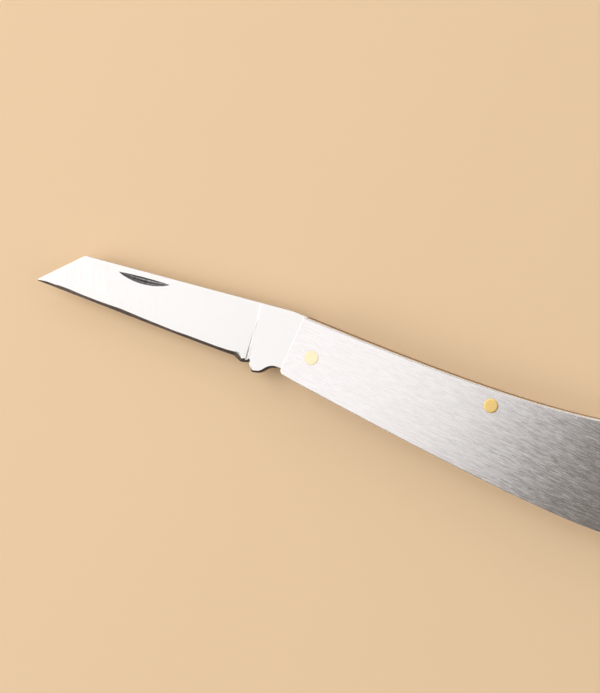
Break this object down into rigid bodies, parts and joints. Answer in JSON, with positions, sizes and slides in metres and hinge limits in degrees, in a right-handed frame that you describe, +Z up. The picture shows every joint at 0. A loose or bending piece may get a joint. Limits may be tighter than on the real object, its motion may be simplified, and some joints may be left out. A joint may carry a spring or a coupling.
{
  "type": "pocket knife",
  "caption": "Folding slip-joint pocket knife with a straight-edged lambfoot blade, plain brushed steel scales, flush brass pins and a backspring that holds the blade open or shut.",
  "frame": {"origin": "on the blade's pivot axis, at the outer face of the pile-side scale, where the knife lies on a surface", "axes": "+X from the pivot to the butt (the open blade points to -X), +Y to the back and its spring, +Z up through the mark side with the nail nick"},
  "size_m": [0.1633, 0.0312, 0.0082],
  "materials": {
    "scale_steel": "brushed along the handle",
    "blade_steel": "ground and lightly polished",
    "spring_steel": "glazed",
    "liner_brass": "rolled sheet",
    "pin_brass": "ground flush"
  },
  "bodies": {
    "handle": {"mark_side_scale": "scale_steel", "pile_side_scale": "scale_steel", "mark_side_liner": "liner_brass", "pile_side_liner": "liner_brass", "backspring": "spring_steel", "pivot_pin": "pin_brass", "spring_pin": "pin_brass", "butt_pin": "pin_brass"},
    "blade": {"blade": "blade_steel"}
  },
  "joints": [
    {"name": "blade_hinge", "type": "hinge", "parent": "handle", "child": "blade", "pos_m": [0, 0, 0.00411], "axis": [0, 0, 1], "range_deg": [0, 167], "deforming": ["backspring"]}
  ]
}
